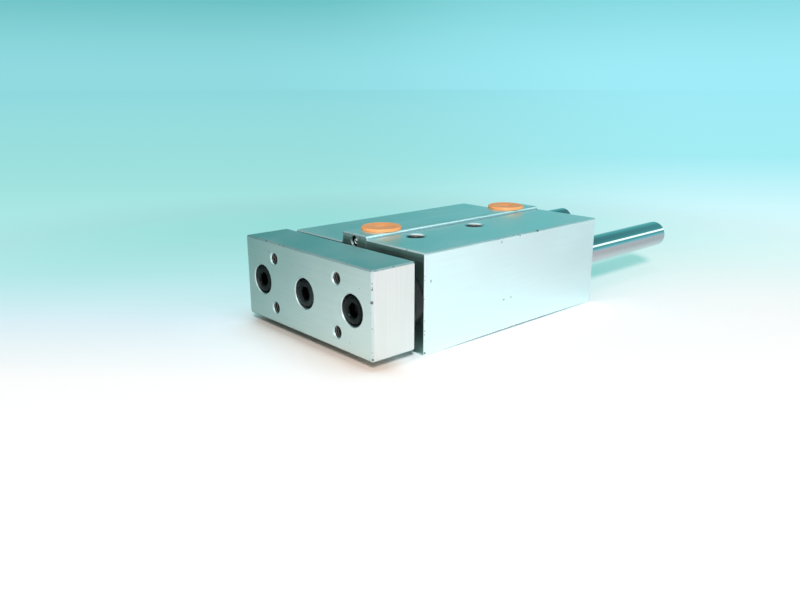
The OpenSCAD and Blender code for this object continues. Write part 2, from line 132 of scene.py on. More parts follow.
# %% Helpers for node trees
def add(tree, kind, inputs=None, **settings):
    """Adds a node, sets its properties, then sets or wires its inputs by name or index."""
    node = tree.nodes.new(kind)
    for name, value in settings.items():
        setattr(node, name, value)
    for name, value in (inputs or {}).items():
        if isinstance(value, bpy.types.NodeSocket):
            tree.links.new(value, node.inputs[name])
        else:
            node.inputs[name].default_value = value
    return node


def maths(tree, operation, first, second=0.5):
    """The result of a Math node, whose two operands may be numbers or sockets."""
    return add(tree, "ShaderNodeMath", {0: first, 1: second}, operation=operation).outputs[0]


def times(tree, first, second):
    """The product of two numbers or sockets."""
    return maths(tree, "MULTIPLY", first, second)


def times_plus(tree, first, second, third):
    """A product with a third number or socket added to it."""
    inputs = {0: first, 1: second, 2: third}
    return add(tree, "ShaderNodeMath", inputs, operation="MULTIPLY_ADD").outputs[0]


def vector_maths(tree, operation, first, second=(0.0, 0.0, 0.0)):
    """The vector result of a Vector Math node."""
    return add(tree, "ShaderNodeVectorMath", {0: first, 1: second}, operation=operation).outputs["Vector"]


def scaled_by(tree, vector, factor):
    """A vector made longer or shorter by a factor."""
    inputs = {0: vector, "Scale": factor}
    return add(tree, "ShaderNodeVectorMath", inputs, operation="SCALE").outputs["Vector"]


def length_of(tree, vector):
    """The length of a vector."""
    return add(tree, "ShaderNodeVectorMath", {0: vector}, operation="LENGTH").outputs["Value"]


def towards(tree, vector, aim):
    """How far a vector reaches towards an aim."""
    return add(tree, "ShaderNodeVectorMath", {0: vector, 1: aim}, operation="DOT_PRODUCT").outputs["Value"]


def parts_of(tree, vector):
    """The X, Y and Z of a vector."""
    return add(tree, "ShaderNodeSeparateXYZ", {0: vector}).outputs


def object_place(tree):
    """The place on an object, in its own metres."""
    return add(tree, "ShaderNodeTexCoord").outputs["Object"]


def noise(tree, vector, scale, detail, roughness=0.5):
    """A soft random pattern from 0 to 1."""
    inputs = {"Vector": vector, "Scale": scale, "Detail": detail, "Roughness": roughness}
    return add(tree, "ShaderNodeTexNoise", inputs).outputs["Fac"]


def between(tree, value, low, high, to_low=0.0, to_high=1.0):
    """Maps a value from one range to another with a smooth step, held at both ends."""
    inputs = {"Value": value, "From Min": low, "From Max": high, "To Min": to_low, "To Max": to_high}
    return add(tree, "ShaderNodeMapRange", inputs, interpolation_type="SMOOTHSTEP").outputs["Result"]


def blend(tree, factor, first, second, mode="MIX"):
    """Mixes two colours. The colour sockets of a Mix node are numbers 6 and 7, its result number 2."""
    node = add(tree, "ShaderNodeMix", {0: factor}, data_type="RGBA", blend_type=mode)
    for index, value in ((6, first), (7, second)):
        if isinstance(value, bpy.types.NodeSocket):
            tree.links.new(value, node.inputs[index])
        else:
            node.inputs[index].default_value = value
    return node.outputs[2]


def cleared_tree(owner):
    """The node tree of a new material or world, emptied."""
    owner.use_nodes = True
    owner.node_tree.nodes.clear()
    return owner.node_tree


# %% [markdown]
# ## Backdrop, floor and light
# Bare metal has almost no colour of its own: it shows the room. The room here is a pale floor that
# runs into a cyan backdrop, so the tops of the part turn teal and its right faces nearly white.
# The backdrop is seen only by camera and mirror rays. Matt surfaces are lit by one even and
# slightly cool tone instead, so each material is lit about as strongly as its colour is written.
#
# Mirror rays that leave towards the front left meet a darker side of the room, and those that
# leave straight to the front meet a brighter one. That is what gives the tool plate its slow
# change of tone from left to right. High above, all but the rear of the room has a white ceiling
# that only mirror rays meet. RIGHT_WAY and AWAY are level and square to each other: the first runs
# to the right of the view, the second away into it.

# %% Make the world
BACKDROP_LEFT = display(144, 218, 224)
BACKDROP_RIGHT = display(160, 236, 248)
HIGH_LEFT = display(12, 158, 155)
HIGH_RIGHT = display(96, 193, 193)
BACKDROP_TOP = display(72, 132, 138)
CEILING = display(255, 255, 255)
ROOM_DARK = display(44, 100, 98)
ROOM_BRIGHT = display(240, 250, 246)
AMBIENT = 0.34
AMBIENT_COLOUR = (0.88, 1.0, 1.0, 1.0)
WHITE = (1.0, 1.0, 1.0, 1.0)
RIGHT_WAY = (0.669, 0.743, 0.0)
AWAY = (-0.743, 0.669, 0.0)
BRIGHT_WAY = (-0.25, -0.97, 0.0)
ROOM_WAY = (-0.45, -0.89, 0.0)
REAR_WAY = (-0.35, 1.0, 0.0)

world = bpy.data.worlds.new("studio")
bpy.context.scene.world = world
tree = cleared_tree(world)
direction = add(tree, "ShaderNodeTexCoord").outputs["Generated"]
height = parts_of(tree, direction)["Z"]
aside = towards(tree, direction, RIGHT_WAY)
low = blend(tree, between(tree, aside, -0.25, 0.35), BACKDROP_LEFT, BACKDROP_RIGHT)
high = blend(tree, between(tree, aside, -0.12, 0.14), HIGH_LEFT, HIGH_RIGHT)
wall = blend(tree, between(tree, height, 0.0, 0.20), low, high)
bright = between(tree, towards(tree, direction, BRIGHT_WAY), 0.66, 0.97)
room = blend(tree, bright, ROOM_DARK, ROOM_BRIGHT)
front_part = between(tree, towards(tree, direction, ROOM_WAY), -0.45, 0.55)
ray = add(tree, "ShaderNodeLightPath")
mirror = maths(tree, "MAXIMUM", ray.outputs["Is Glossy Ray"], ray.outputs["Is Transmission Ray"])
around = blend(tree, times(tree, front_part, mirror), wall, room)
dome = blend(tree, between(tree, height, 0.3, 0.7), around, BACKDROP_TOP)
above = times(tree, between(tree, height, 0.62, 0.74),
              between(tree, towards(tree, direction, REAR_WAY), 0.42, 0.54, 1.0, 0.0))
dome = blend(tree, times(tree, above, mirror), dome, CEILING)
seen = add(tree, "ShaderNodeBackground", {"Color": dome, "Strength": 1.0})
plain = add(tree, "ShaderNodeBackground", {"Color": AMBIENT_COLOUR, "Strength": AMBIENT})
shown = maths(tree, "MAXIMUM", ray.outputs["Is Camera Ray"], mirror)
world_mix = add(tree, "ShaderNodeMixShader", {0: shown, 1: plain.outputs[0], 2: seen.outputs[0]})
add(tree, "ShaderNodeOutputWorld", {"Surface": world_mix.outputs[0]})
print("world: ambient level", AMBIENT)

# %% [markdown]
# The floor is one large disc, made with create_circle. Two colour ramps hold its tones by depth,
# one for the left and one for the brighter right, and far away they end in the colours of the
# backdrop, so no horizon shows. The floor is a mix of a matt surface, which takes shadows, and a
# glow, which doesn't. Near the part it is mostly matt. Further out the glow takes over, and it
# keeps the backdrop as even as a broad soft light does.

# %% Make the floor
FLOOR_RADIUS = 6.0
FLOOR_FRONT = display(255, 246, 254)
GLOW_NEAR = 0.22
GLOW_FAR = 0.98
RAMP_START = -0.06
TINT_FRONT = (1.30, 0.96, 0.80, 1.0)
TINT_BACK = (0.10, 2.1, 1.85, 1.0)
FLAG_NEAR = display(158, 186, 185)
FLAG_FAR = display(90, 152, 153)
REAR_DIM = (0.78, 0.74, 0.76, 1.0)
CONTACT_REACH = 0.024
CONTACT_SHADE = (0.78, 0.62, 0.54, 1.0)
CONTACT_BAND = (-0.044, -0.032)
FLOOR_LEFT = [(0.00, (253, 254, 254)), (0.17, (226, 246, 254)), (0.31, (194, 240, 243)),
              (0.46, (175, 234, 232)), (0.63, (159, 226, 223)), (1.00, (144, 218, 224))]
FLOOR_RIGHT = [(0.00, (254, 253, 254)), (0.24, (251, 254, 255)), (0.38, (232, 255, 255)),
               (0.54, (207, 250, 255)), (0.71, (164, 238, 246)), (1.00, (160, 236, 248))]

floor_mesh = bpy.data.meshes.new("floor")
bm = bmesh.new()
bmesh.ops.create_circle(bm, cap_ends=True, segments=96, radius=FLOOR_RADIUS)
bm.to_mesh(floor_mesh)
bm.free()
floor = bpy.data.objects.new("floor", floor_mesh)
bpy.context.scene.collection.objects.link(floor)
floor.location.z = body_low.z - 0.02 * MM
floor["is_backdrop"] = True


def ramp(tree, value, stops):
    """A colour ramp over a value, from pairs of a position and a colour as it shows."""
    node = add(tree, "ShaderNodeValToRGB", {0: value})
    band = node.color_ramp
    for position, shade in stops[1:-1]:
        band.elements.new(position)
    for element, (position, shade) in zip(band.elements, stops):
        element.position = position
        element.color = display(*shade)
    return node.outputs["Color"]


floor_finish = bpy.data.materials.new("floor")
tree = cleared_tree(floor_finish)
place = object_place(tree)
reach = length_of(tree, place)
back_way = towards(tree, place, AWAY)
depth = maths(tree, "MAXIMUM", maths(tree, "SUBTRACT", back_way, RAMP_START), 0.0)
aside = towards(tree, place, RIGHT_WAY)
far = maths(tree, "ADD", depth, CAMERA_DISTANCE)
step = maths(tree, "DIVIDE", depth, far)
turn = between(tree, maths(tree, "DIVIDE", aside, far), -0.15, 0.40)
tone = blend(tree, turn, ramp(tree, step, FLOOR_LEFT), ramp(tree, step, FLOOR_RIGHT))
pale = blend(tree, between(tree, back_way, -0.14, -0.06), FLOOR_FRONT, tone)
far_colour = blend(tree, turn, BACKDROP_LEFT, BACKDROP_RIGHT)
colour = blend(tree, between(tree, reach, 1.5, 5.0), pale, far_colour)

# Mirror rays that land to the left of the part meet a darker patch, as if a grey card lay there,
# and those that land at its right rear meet a slightly dimmer one.
ray = add(tree, "ShaderNodeLightPath")
glossy = ray.outputs["Is Glossy Ray"]
split = parts_of(tree, place)
flag = times(tree, between(tree, back_way, -0.058, 0.006),
             between(tree, towards(tree, place, (-1.0, -0.25, 0.0)), -0.03, 0.02))
flag_tone = blend(tree, between(tree, reach, 0.10, 0.20), FLAG_NEAR, FLAG_FAR)
colour = blend(tree, times(tree, flag, glossy), colour, flag_tone)
rear = times(tree, between(tree, split["Y"], 0.03, 0.12), between(tree, split["X"], 0.02, 0.05))
dimmed = blend(tree, times(tree, rear, glossy), WHITE, REAR_DIM)
colour = blend(tree, 1.0, colour, dimmed, "MULTIPLY")

# The light that comes from behind can't reach the floor in front of the tool plate. The node
# measures how much of the sky the part hides there, and the floor turns darker and warmer by it.
contact = add(tree, "ShaderNodeAmbientOcclusion", {"Distance": CONTACT_REACH}, samples=16).outputs["AO"]
hidden = times(tree, between(tree, contact, 0.35, 1.0, 1.0, 0.0),
               between(tree, split["Y"], *CONTACT_BAND, 1.0, 0.0))
colour = blend(tree, hidden, colour, CONTACT_SHADE, "MULTIPLY")

# Near the part most of the floor is matt, so that it takes shadows, and the rest is a tinted glow.
# Where the glow is tinted, the matt part is tinted the other way, and the lit floor keeps its colour.
side_way = maths(tree, "ABSOLUTE", split["X"])
long_way = maths(tree, "ABSOLUTE", maths(tree, "SUBTRACT", split["Y"], (plate_low.y + body_high.y) / 2))
half_long = (body_high.y - plate_low.y) / 2
covered = times(tree, between(tree, side_way, body_high.x, body_high.x + 0.006, 1.0, 0.0),
                between(tree, long_way, half_long, half_long + 0.006, 1.0, 0.0))
share = between(tree, reach, 0.13, 0.32, GLOW_NEAR, GLOW_FAR)
share = times(tree, share, maths(tree, "SUBTRACT", 1.0, covered))
tint = blend(tree, between(tree, back_way, -0.03, 0.01), TINT_FRONT, TINT_BACK)
tint = blend(tree, between(tree, reach, 0.13, 0.25), tint, WHITE)
rest = vector_maths(tree, "SUBTRACT", (1.0, 1.0, 1.0), scaled_by(tree, tint, share))
matt_part = scaled_by(tree, rest, maths(tree, "DIVIDE", 1.0, maths(tree, "SUBTRACT", 1.0, share)))
matt = add(tree, "ShaderNodeBsdfDiffuse", {"Color": blend(tree, 1.0, colour, matt_part, "MULTIPLY")})
glow = add(tree, "ShaderNodeEmission", {"Color": blend(tree, 1.0, colour, tint, "MULTIPLY"), "Strength": 1.0})
shown = maths(tree, "MAXIMUM", ray.outputs["Is Camera Ray"], glossy)
floor_mix = add(tree, "ShaderNodeMixShader", {
    0: times(tree, shown, share), 1: matt.outputs[0], 2: glow.outputs[0]})
add(tree, "ShaderNodeOutputMaterial", {"Surface": floor_mix.outputs[0]})
floor.data.materials.append(floor_finish)
print("floor radius", FLOOR_RADIUS)

# %% [markdown]
# Four lamps. A small warm key, high at the front right, casts the shadows. A broad soft one, low at
# the right, fills the right faces. A long tube at the right rear draws the thin line along each rod
# and rounded edge. A weak one high above lifts the tops.


# %% Make the lamps
def lamp(name, place, aim, width, height, watts, colour=(1.0, 1.0, 1.0)):
    """A rectangular lamp at a place, turned to its aim, that the camera doesn't see."""
    data = bpy.data.lights.new(name, "AREA")
    data.shape = "RECTANGLE"
    data.size = width
    data.size_y = height
    data.energy = watts
    data.color = colour
    made = bpy.data.objects.new(name, data)
    bpy.context.scene.collection.objects.link(made)
    made.location = place
    made.rotation_euler = (Vector(aim) - Vector(place)).to_track_quat("-Z", "Y").to_euler()
    made.visible_camera = False
    return made


lamp("key", (0.61, -0.52, 0.57), (0, 0.02, 0.015), 0.16, 0.16, 9.0, (1.0, 0.95, 0.93))
lamp("soft_right", (0.88, 0.36, 0.10), (0, -0.02, 0.015), 0.60, 0.20, 1.0)
lamp("tube", (0.56, 1.00, 0.47), (0, 1.00, 0.0), 1.40, 0.20, 1.35)
lamp("ceiling", (0.16, -0.18, 0.95), (0, 0, 0.015), 0.26, 0.26, 0.5)


# %% [markdown]
# ## Shared effects as node groups
# Real surfaces of one machine share the same few effects: fine lines left by a tool, rubbed edges,
# small nicks, hairline scratches and smudges from handling. Each is a group of nodes with named
# inputs and outputs, built once and placed in every material with its own values. A group gives
# out only masks and heights, and each material decides what to do with them. All of them read
# Object coordinates, which are the true metres of the part, so a nick is as large on one piece as
# on the next.


# %% Start and use a node group
FLOAT, VECTOR = "NodeSocketFloat", "NodeSocketVector"


def new_group(name, inputs, outputs):
    """An empty shader group with its sockets. Each input is a name, a socket type and a value."""
    group = bpy.data.node_groups.new(name, "ShaderNodeTree")
    for label, kind, value in inputs:
        socket = group.interface.new_socket(name=label, in_out="INPUT", socket_type=kind)
        socket.default_value = value
    for label in outputs:
        group.interface.new_socket(name=label, in_out="OUTPUT", socket_type=FLOAT)
    source = group.nodes.new("NodeGroupInput")
    result = group.nodes.new("NodeGroupOutput")
    return group, source.outputs, result.inputs


def use(tree, group, **values):
    """Places a group in a tree. An underscore in a name stands for a space."""
    inputs = {name.replace("_", " "): value for name, value in values.items()}
    return add(tree, "ShaderNodeGroup", inputs, node_tree=group).outputs


# %% [markdown]
# **Tool grain.** A brushed or milled face is full of parallel lines. A noise pattern that is
# squeezed across the lines and stretched along them gives such a grain. Two sizes are made: the
# fine one tilts the surface, and the broad one changes its tone in long streaks.

# %% Make the grain group
grain, source, result = new_group(
    "tool_grain", [("Squeeze", VECTOR, (100.0, 100.0, 100.0))], ["Fine", "Streak"])
place = object_place(grain)
squeezed = vector_maths(grain, "MULTIPLY", place, source["Squeeze"])
grain.links.new(noise(grain, squeezed, 1.0, 3.0, 0.6), result["Fine"])
grain.links.new(noise(grain, squeezed, 0.25, 3.0, 0.55), result["Streak"])
print("group:", grain.name)

# %% [markdown]
# **Turning rings.** A lathe leaves rings round its axis. The group measures the distance from an
# axis that runs along Y and adds the place along it, so the same pattern gives rings on an end
# face and fine threads of light on the rim.

# %% Make the turning group
rings, source, result = new_group(
    "turning_rings", [("Centre", VECTOR, (0.0, 0.0, 0.0)), ("Count", FLOAT, 5000.0)], ["Fine", "Streak"])
place = object_place(rings)
offset = vector_maths(rings, "SUBTRACT", place, source["Centre"])
flat = vector_maths(rings, "MULTIPLY", offset, (1.0, 0.0, 1.0))
radius = length_of(rings, flat)
along = parts_of(rings, offset)["Y"]
count = times(rings, maths(rings, "ADD", radius, along), source["Count"])
fine = add(rings, "ShaderNodeTexNoise", {"W": count, "Scale": 1.0, "Detail": 2.0}, noise_dimensions="1D")
wide = add(rings, "ShaderNodeTexNoise", {"W": count, "Scale": 0.2, "Detail": 2.0}, noise_dimensions="1D")
rings.links.new(fine.outputs["Fac"], result["Fine"])
rings.links.new(wide.outputs["Fac"], result["Streak"])
print("group:", rings.name)

# %% [markdown]
# **Edge wear.** Corners rub first. Inside a box, the distance to the nearest edge is the middle one
# of the three distances to its walls, because the smallest is the face that the point lies on.
# Noise makes the worn band uneven, and a coarser noise bites small chips out of it. The corners of
# the box are inputs, so one group serves every block.

# %% Make the edge wear group
edge_wear, source, result = new_group(
    "edge_wear", [("Low", VECTOR, (0.0, 0.0, 0.0)), ("High", VECTOR, (1.0, 1.0, 1.0)),
                  ("Width", FLOAT, 0.0006), ("Chip Scale", FLOAT, 900.0), ("Chip Share", FLOAT, 0.4)],
    ["Rub", "Chips"])
place = object_place(edge_wear)
below = vector_maths(edge_wear, "ABSOLUTE", vector_maths(edge_wear, "SUBTRACT", place, source["Low"]))
above = vector_maths(edge_wear, "ABSOLUTE", vector_maths(edge_wear, "SUBTRACT", source["High"], place))
walls = parts_of(edge_wear, vector_maths(edge_wear, "MINIMUM", below, above))
less = maths(edge_wear, "MINIMUM", walls["X"], walls["Y"])
more = maths(edge_wear, "MAXIMUM", walls["X"], walls["Y"])
distance = maths(edge_wear, "MAXIMUM", less, maths(edge_wear, "MINIMUM", more, walls["Z"]))
uneven = noise(edge_wear, place, 420.0, 3.0)
reach = times(edge_wear, source["Width"], maths(edge_wear, "ADD", uneven, 0.5))
rub = between(edge_wear, maths(edge_wear, "DIVIDE", distance, reach), 0.3, 1.2, 1.0, 0.0)
bites = noise(edge_wear, place, source["Chip Scale"], 1.0)
chipped = between(edge_wear, maths(edge_wear, "ADD", bites, source["Chip Share"]), 0.98, 1.04)
edge_wear.links.new(rub, result["Rub"])
edge_wear.links.new(times(edge_wear, rub, chipped), result["Chips"])
print("group:", edge_wear.name)

# %% [markdown]
# ** Inside a block.** The walls of holes are darkened with painted shade. A point deep inside a
# block's box can only be on the wall of a hole, so the smallest distance to the box's walls tells
# holes from outer faces.

# %% Make the inside group
inside, source, result = new_group(
    "inside_block", [("Low", VECTOR, (0.0, 0.0, 0.0)), ("High", VECTOR, (1.0, 1.0, 1.0)),
                     ("Start", FLOAT, 0.0005), ("End", FLOAT, 0.0015)], ["Mask"])
place = object_place(inside)
below = vector_maths(inside, "SUBTRACT", place, source["Low"])
above = vector_maths(inside, "SUBTRACT", source["High"], place)
walls = parts_of(inside, vector_maths(inside, "MINIMUM", below, above))
depth = maths(inside, "MINIMUM", maths(inside, "MINIMUM", walls["X"], walls["Y"]), walls["Z"])
inside.links.new(between(inside, depth, source["Start"], source["End"]), result["Mask"])
print("group:", inside.name)

# %% [markdown]
# **Nicks, scratches and smudges.** Nicks are rare small dots: one cell in a few of a Voronoi
# pattern carries a dot. Scratches are the thin walls between large, warped cells, shown only in
# short lengths. Smudges are a soft cloud pattern that makes a gloss uneven, as handling does.

# %% Make the handling group
handling, source, result = new_group(
    "handling", [("Nick Scale", FLOAT, 220.0), ("Nick Size", FLOAT, 0.10), ("Scratch Scale", FLOAT, 55.0),
                 ("Smudge Scale", FLOAT, 60.0)], ["Nicks", "Scratches", "Smudges"])
place = object_place(handling)
cells = add(handling, "ShaderNodeTexVoronoi", {"Vector": place, "Scale": source["Nick Scale"]})
lucky = parts_of(handling, cells.outputs["Color"])
size = times(handling, source["Nick Size"], lucky["Y"])
dot = maths(handling, "LESS_THAN", cells.outputs["Distance"], size)
nicks = times(handling, dot, maths(handling, "GREATER_THAN", lucky["X"], 0.80))
bend = add(handling, "ShaderNodeTexNoise", {"Vector": place, "Scale": 40.0, "Detail": 2.0}).outputs["Color"]
warped = vector_maths(handling, "ADD", place, vector_maths(handling, "MULTIPLY", bend, (0.012, 0.012, 0.012)))
walls = add(handling, "ShaderNodeTexVoronoi", {"Vector": warped, "Scale": source["Scratch Scale"]},
            feature="DISTANCE_TO_EDGE").outputs["Distance"]
short = noise(handling, place, 130.0, 1.0)
thin = between(handling, walls, 0.001, 0.004, 1.0, 0.0)
hair = times(handling, thin, between(handling, short, 0.52, 0.58))
cloud = noise(handling, place, source["Smudge Scale"], 4.0)
handling.links.new(nicks, result["Nicks"])
handling.links.new(hair, result["Scratches"])
handling.links.new(between(handling, cloud, 0.35, 0.70), result["Smudges"])
print("group:", handling.name)

# %% [markdown]
# ** One mark.** The few dents that a user would remember sit at known places, and so do a few lines
# and bands of painted shade. Each is an ellipsoid with a centre and a size, and its mask is one
# inside it.

# %% Make the mark group
mark, source, result = new_group(
    "mark", [("Centre", VECTOR, (0.0, 0.0, 0.0)), ("Size", VECTOR, (0.0004, 0.0004, 0.0004))], ["Mask"])
place = object_place(mark)
rough = noise(mark, place, 2500.0, 1.0)
scaled = vector_maths(mark, "DIVIDE", vector_maths(mark, "SUBTRACT", place, source["Centre"]), source["Size"])
length = length_of(mark, scaled)
mark.links.new(between(mark, maths(mark, "ADD", length, rough), 1.2, 1.6, 1.0, 0.0), result["Mask"])
print("group:", mark.name)

# %% [markdown]
# ## Metal finishes
# All bare metal here is one recipe with different values: a metallic shader, a tone that follows
# the streaks of the tool, a roughness that smudges make uneven, and a bump from the fine lines,
# the nicks and the scratches. One function holds the recipe. Each finish below then reads as the
# few numbers that make it what it is. Heights are in metres, as on the real surface.
#
# The walls deep in holes and the roots of a thread are darkened with brown painted shade. The
# roots show as a ring between the core and the outer radius of the tap, a little way into the hole.

# %% The recipe for bare metal
# Brown painted shade for the walls of holes.
HOLE_SHADE = display(58, 46, 40)
# Brown painted shade for the roots of threads.
THREAD_ROOT_SHADE = display(78, 50, 42)
# Teal painted shade for spots and bands.
SPOT_SHADE = display(84, 112, 124)
SMUDGE_FILM = display(150, 156, 156)
FRESH_SCRATCH = display(170, 176, 176)
BLACK = (0.0, 0.0, 0.0, 1.0)
DENT_DEPTH = 30e-6
SCRATCH_DEPTH = 1.5e-6
FACE_TURN = (0.80, 0.92)
ROOT_RISE = 0.14 * MM
ROOT_FALL = 0.10 * MM
ROOT_SHADE_START = 0.36 * MM
ROOT_SHADE_END = 0.48 * MM


def thread_roots(tree, side, middle, rise, core, outer):
    """Masks the roots of four threads along Y, at side from the middle plane and at rise from a height."""
    split = parts_of(tree, object_place(tree))
    across = maths(tree, "SUBTRACT", maths(tree, "ABSOLUTE", split["X"]), side)
    up = maths(tree, "SUBTRACT", maths(tree, "ABSOLUTE", maths(tree, "SUBTRACT", split["Z"], middle)), rise)
    squares = maths(tree, "ADD", times(tree, across, across), times(tree, up, up))
    radius = maths(tree, "SQRT", squares)
    return times(tree, between(tree, radius, core, core + ROOT_RISE),
                 between(tree, radius, outer, outer + ROOT_FALL, 1.0, 0.0))


def metal(name, colour, roughness, lines, tone=0.10, groove=1.5e-6, faces=(), boxes=(), blocks=(),
          threads=(), marks=(), shade_spots=(), rub=0.7, worn=None, chip_and_shade_colour=(60, 66, 66), nick_size=0.10,
          smudge=0.06):
    """A metal finish. lines is a pair of group and values, faces are sides that were cut another
    way, each with its own colour, which on some is painted shade, boxes have rubbed edges, blocks
    have holes darkened with painted shade from a start to an end depth, threads have roots darkened
    with painted shade, marks are dents or lines of painted shade, and the spots after them are
    patches of painted shade. These last two are given in mm."""
    made = bpy.data.materials.new(name)
    tree = cleared_tree(made)
    group, values = lines
    tool = use(tree, group, **values)
    hand = use(tree, handling, Nick_Size=nick_size)
    base, streak = display(*colour), tool["Streak"]
    relief = times(tree, tool["Fine"], groove)
    normal = add(tree, "ShaderNodeTexCoord").outputs["Normal"]
    for direction, squeeze, face_colour, face_groove in faces:
        part = between(tree, towards(tree, normal, direction), *FACE_TURN)
        other = use(tree, grain, Squeeze=squeeze)
        base = blend(tree, part, base, display(*face_colour))
        streak = between(tree, part, 0.0, 1.0, streak, other["Streak"])
        other_relief = times(tree, other["Fine"], face_groove)
        relief = between(tree, part, 0.0, 1.0, relief, other_relief)
    dull = blend(tree, 2 * tone, base, BLACK)
    shade = blend(tree, between(tree, streak, 0.3, 0.7), dull, base)
    shade = blend(tree, times(tree, hand["Smudges"], 0.5 * tone), shade, SMUDGE_FILM)
    dents_and_shade_lines = hand["Nicks"]
    rough = times_plus(tree, hand["Smudges"], smudge, roughness)
    for low, high, width, share in boxes:
        edges = use(tree, edge_wear, Low=low, High=high, Width=width, Chip_Share=share)
        shade = blend(tree, times(tree, edges["Rub"], rub), shade, display(*(worn or colour)))
        dents_and_shade_lines = maths(tree, "MAXIMUM", dents_and_shade_lines, edges["Chips"])
    # Holes deep in a block: their walls are darkened with brown painted shade.
    for low, high, start, end in blocks:
        hole = use(tree, inside, Low=low, High=high, Start=start, End=end)["Mask"]
        shade = blend(tree, times(tree, hole, 0.92), shade, HOLE_SHADE)
        rough = maths(tree, "SUBTRACT", rough, times(tree, hole, 0.14))
    # Thread roots are darkened with brown painted shade.
    for side, middle, rise, core, outer, low, high in threads:
        root = thread_roots(tree, side, middle, rise, core, outer)
        deep = use(tree, inside, Low=low, High=high, Start=ROOT_SHADE_START, End=ROOT_SHADE_END)["Mask"]
        shade = blend(tree, times(tree, root, deep), shade, THREAD_ROOT_SHADE)
    # Spots and bands of painted shade.
    for centre, size, share in shade_spots:
        spot = use(tree, mark, Centre=[v * MM for v in centre], Size=[v * MM for v in size])["Mask"]
        shade = blend(tree, times(tree, spot, share), shade, SPOT_SHADE)
    for centre, size in marks:
        spot = use(tree, mark, Centre=[v * MM for v in centre], Size=[v * MM for v in size])["Mask"]
        dents_and_shade_lines = maths(tree, "MAXIMUM", dents_and_shade_lines, spot)
    # Nicks, chips and marks take this dark colour, and so do the lines of painted shade among the marks.
    shade = blend(tree, times(tree, dents_and_shade_lines, 0.8), shade, display(*chip_and_shade_colour))
    shade = blend(tree, times(tree, hand["Scratches"], 0.08), shade, FRESH_SCRATCH)
    height = maths(tree, "SUBTRACT", relief, times(tree, dents_and_shade_lines, DENT_DEPTH))
    height = maths(tree, "SUBTRACT", height, times(tree, hand["Scratches"], SCRATCH_DEPTH))
    bump = add(tree, "ShaderNodeBump", {"Height": height, "Distance": 1.0, "Strength": 1.0})
    shader = add(tree, "ShaderNodeBsdfPrincipled", {
        "Base Color": shade, "Metallic": 1.0, "Roughness": maths(tree, "MAXIMUM", rough, 0.02),
        "Normal": bump.outputs["Normal"]})
    add(tree, "ShaderNodeOutputMaterial", {"Surface": shader.outputs[0]})
    return made


# %% [markdown]
# ** Housing.** The block is drawn or extruded, then milled along its length and clear anodised. Its
# faint lines run along Y, and its two ends are cut across. Its front end is given a darker teal:
# painted shade for the gap behind the tool plate. The rail and both shoulders are blocks of their
# own to the edge wear and to the brown painted shade in the holes. The dents on its right side are
# marks, and one more mark along its bottom edge is a dark line of painted shade. One long band of
# painted shade lies along the foot of the rail.

# %% Finish of the housing
rail_half = 5.8 * MM
shoulder_right, shoulder_left = body_high.z - 1.0 * MM, body_high.z - 3.4 * MM
SAWN_ACROSS = (160.0, 6500.0, 6500.0)
anodised = metal(
    "anodised_aluminium", (226, 247, 248), 0.36, (grain, {"Squeeze": (6500.0, 140.0, 6500.0)}),
    tone=0.012, groove=1.2e-6, worn=(236, 246, 246), rub=0.3, nick_size=0.04,
    # The front end's darker teal colour is painted shade for the gap behind the tool plate.
    faces=[((0.0, -1.0, 0.0), SAWN_ACROSS, (140, 172, 165), 20.0e-6),
           ((0.0, 1.0, 0.0), SAWN_ACROSS, (196, 208, 209), 3.0e-6)],
    boxes=[
        (body_low, (body_high.x, body_high.y, shoulder_right), 0.5 * MM, 0.30),
        ((-rail_half, body_low.y, -1.0), (rail_half, body_high.y, body_high.z), 0.4 * MM, 0.22),
        ((body_low.x, body_low.y, -1.0), (1.0, body_high.y, shoulder_left), 0.4 * MM, 0.22)],
    blocks=[
        # The holes in these blocks are darkened with brown painted shade.
        ((rail_half, body_low.y, 0.0), (body_high.x, body_high.y, shoulder_right), 0.25 * MM, 0.55 * MM),
        ((body_low.x, body_low.y, 0.0), (-rail_half, body_high.y, shoulder_left), 0.25 * MM, 0.55 * MM),
        ((-rail_half, body_low.y, 0.0), (rail_half, body_high.y, body_high.z), 0.1 * MM, 1.0 * MM)],
    # A long band of painted shade along the foot of the rail.
    shade_spots=[((6.1, 13.5, 31.0), (1.3, 60.0, 0.5), 0.5)],
    marks=[
        ((32, 4.6, 29.6), (0.5, 0.22, 0.5)), ((32, 13.4, 30.4), (0.5, 0.25, 0.35)),
        ((32, 22.5, 30.8), (0.6, 0.60, 0.45)), ((32, -26.1, 22.6), (0.5, 0.22, 0.5)),
        ((32, 35.2, 0.3), (0.5, 0.8, 0.3)), ((32, 10.2, 10.7), (0.5, 0.2, 0.4)),
        # The long mark at the bottom edge, 46 mm along Y, is a line of painted shade.
        ((32, 6.6, 10.5), (0.5, 0.55, 0.18)), ((32, 14.0, 0.10), (0.5, 46.0, 0.5)),
        ((32, -28.5, 24.3), (0.3, 0.30, 0.3)), ((32, -28.5, 20.9), (0.3, 0.22, 0.9)),
        ((32, -28.5, 14.6), (0.3, 0.22, 0.4)), ((32, -28.5, 7.9), (0.3, 0.40, 0.5)),
        ((32, -28.5, 6.7), (0.3, 0.30, 0.9)), ((32, -28.5, 4.2), (0.3, 0.25, 1.2)),
        ((32, -28.4, 1.0), (0.4, 0.60, 0.4))])
